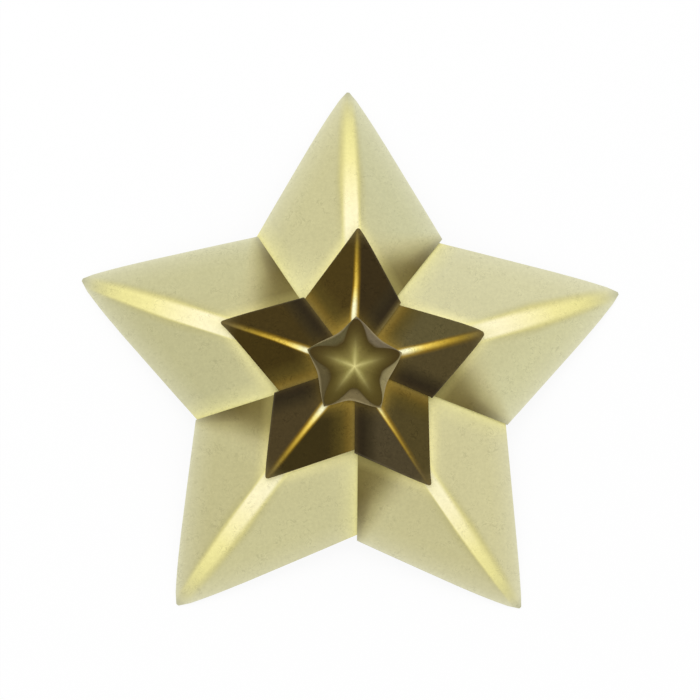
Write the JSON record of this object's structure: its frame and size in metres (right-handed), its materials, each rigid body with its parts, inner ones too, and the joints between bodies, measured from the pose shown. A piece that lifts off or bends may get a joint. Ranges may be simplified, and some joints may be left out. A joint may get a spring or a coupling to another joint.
{
  "type": "origami star",
  "caption": "Tiered origami star folded from a sheet of translucent paper, with arms that overlap like a pinwheel and a small puffed star at its centre.",
  "frame": {"origin": "on the star's axis, in the plane of the table that its five outer points rest on", "axes": "+Z along the star's axis, out of its front; +Y along one arm; the arms overlap clockwise as seen from +Z"},
  "size_m": [0.1522, 0.1449, 0.0215],
  "materials": {
    "star_paper": "matt translucent parchment-like paper, straw coloured where light comes through it"
  },
  "bodies": {
    "root": {"folded_star": "star_paper"}
  },
  "joints": []
}
